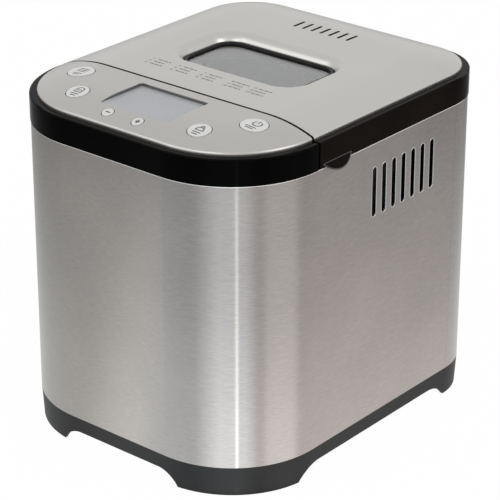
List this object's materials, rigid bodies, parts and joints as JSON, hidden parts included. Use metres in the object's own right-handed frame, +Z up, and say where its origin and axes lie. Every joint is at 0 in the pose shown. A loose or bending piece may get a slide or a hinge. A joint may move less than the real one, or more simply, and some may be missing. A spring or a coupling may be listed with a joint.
{
  "type": "bread machine",
  "caption": "Countertop bread machine with brushed steel body, hinged crowned lid with window, display and buttons, lift-out pan with bail, and belt-driven paddle.",
  "frame": {"origin": "on the table, under the middle of the body's footprint", "axes": "+Z up, -Y towards the user in front of the control panel, +X to the user's right"},
  "size_m": [0.2654, 0.3136, 0.2911],
  "materials": {
    "brushed_shell": "horizontally brushed stainless sheet",
    "brushed_plate": "brushed stainless sheet, pressed",
    "black_band": "polished black moulding",
    "base_grey": "fine matt texture",
    "inner_black": "matt moulding",
    "trim_grey": "satin grey moulding",
    "dark_rubber": "matt rubber",
    "seal_silicone": "soft silicone",
    "window_clear": "clear tempered",
    "display_clear": "clear pane",
    "display_grey": "pale grey-blue panel",
    "button_silver": "satin silver paint",
    "liner_alloy": "satin sheet",
    "chamber_sheet": "aluminised sheet",
    "pan_coating": "non-stick coating",
    "heater_sheath": "heat-darkened tube",
    "bright_steel": "bright turned or plated steel",
    "bush_bronze": "sintered bronze",
    "heater_ceramic": "unglazed ceramic",
    "stator_iron": "lacquered laminations",
    "board_green": "solder mask",
    "component_black": "moulded component"
  },
  "bodies": {
    "body": {"body_shell": "brushed_shell", "panel_plate": "brushed_plate", "panel_housing": "black_band", "base_tray": "base_grey", "top_deck": "inner_black", "cord_gland": "inner_black", "display_frame": "trim_grey", "foot_pads": "dark_rubber", "drive_belt": "dark_rubber", "display_lens": "display_clear", "display_module": "display_grey", "oven_chamber": "chamber_sheet", "drive_bracket": "chamber_sheet", "heating_element": "heater_sheath", "board_screws": "bright_steel", "chamber_screws": "bright_steel", "bracket_screws": "bright_steel", "motor_screws": "bright_steel", "pan_socket": "bright_steel", "heater_supports": "bright_steel", "temperature_probe": "bright_steel", "bearing_housing": "bright_steel", "motor_case": "bright_steel", "shaft_bushes": "bush_bronze", "heater_bushes": "heater_ceramic", "motor_stator": "stator_iron", "transformer": "stator_iron", "control_board": "board_green", "power_board": "board_green", "tact_switches": "component_black", "relay": "component_black", "motor_capacitor": "component_black"},
    "lid": {"lid_frame": "black_band", "lid_plate": "brushed_plate", "lid_liner": "liner_alloy", "liner_screws": "bright_steel", "lid_seal": "seal_silicone", "window_gasket": "dark_rubber", "window_glass": "window_clear", "hinge_pins": "bright_steel"},
    "pan": {"bread_pan": "pan_coating", "pan_bearing": "bush_bronze"},
    "handle": {"pan_handle": "bright_steel", "handle_grip": "inner_black"},
    "paddle": {"pan_shaft": "bright_steel", "pan_coupler": "bright_steel", "kneading_paddle": "pan_coating"},
    "drive": {"drive_shaft": "bright_steel", "drive_coupler": "bright_steel", "drive_pulley": "inner_black"},
    "motor": {"motor_rotor": "bright_steel", "motor_pulley": "bright_steel"},
    "menu_key": {"menu_button": "button_silver"},
    "start_key": {"start_button": "button_silver"},
    "colour_key": {"colour_button": "button_silver"},
    "size_key": {"size_button": "button_silver"},
    "minus_key": {"minus_button": "button_silver"},
    "plus_key": {"plus_button": "button_silver"}
  },
  "joints": [
    {"name": "lid_hinge", "type": "hinge", "parent": "body", "child": "lid", "pos_m": [0, 0.155, 0.265], "axis": [-1, 0, 0], "range_deg": [0, 95]},
    {"name": "pan_lift", "type": "slide", "parent": "body", "child": "pan", "axis": [0, 0, 1], "range_m": [0, 0.055]},
    {"name": "handle_swing", "type": "hinge", "parent": "pan", "child": "handle", "pos_m": [0, 0.034, 0.1926], "axis": [-1, 0, 0], "range_deg": [0, 180]},
    {"name": "drive_spin", "type": "hinge", "parent": "body", "child": "drive", "pos_m": [0, 0.034, 0.0326], "axis": [0, 0, 1], "continuous": true},
    {"name": "paddle_spin", "type": "hinge", "parent": "pan", "child": "paddle", "pos_m": [0, 0.034, 0.0926], "axis": [0, 0, 1], "continuous": true},
    {"name": "motor_spin", "type": "hinge", "parent": "body", "child": "motor", "pos_m": [0, -0.104, 0.0626], "axis": [0, 0, 1], "continuous": true},
    {"name": "menu_press", "type": "slide", "parent": "body", "child": "menu_key", "axis": [0, 0, -1], "range_m": [0, 0.001], "stiffness_N_per_m": 800, "springref_m": -0.0006},
    {"name": "start_press", "type": "slide", "parent": "body", "child": "start_key", "axis": [0, 0, -1], "range_m": [0, 0.001], "stiffness_N_per_m": 800, "springref_m": -0.0006},
    {"name": "colour_press", "type": "slide", "parent": "body", "child": "colour_key", "axis": [0, 0, -1], "range_m": [0, 0.001], "stiffness_N_per_m": 800, "springref_m": -0.0006},
    {"name": "size_press", "type": "slide", "parent": "body", "child": "size_key", "axis": [0, 0, -1], "range_m": [0, 0.001], "stiffness_N_per_m": 800, "springref_m": -0.0006},
    {"name": "minus_press", "type": "slide", "parent": "body", "child": "minus_key", "axis": [0, 0, -1], "range_m": [0, 0.001], "stiffness_N_per_m": 800, "springref_m": -0.0006},
    {"name": "plus_press", "type": "slide", "parent": "body", "child": "plus_key", "axis": [0, 0, -1], "range_m": [0, 0.001], "stiffness_N_per_m": 800, "springref_m": -0.0006}
  ],
  "couplings": [
    {"joint": "paddle_spin", "follows": "drive_spin", "ratio": 1},
    {"joint": "motor_spin", "follows": "drive_spin", "ratio": 5}
  ]
}
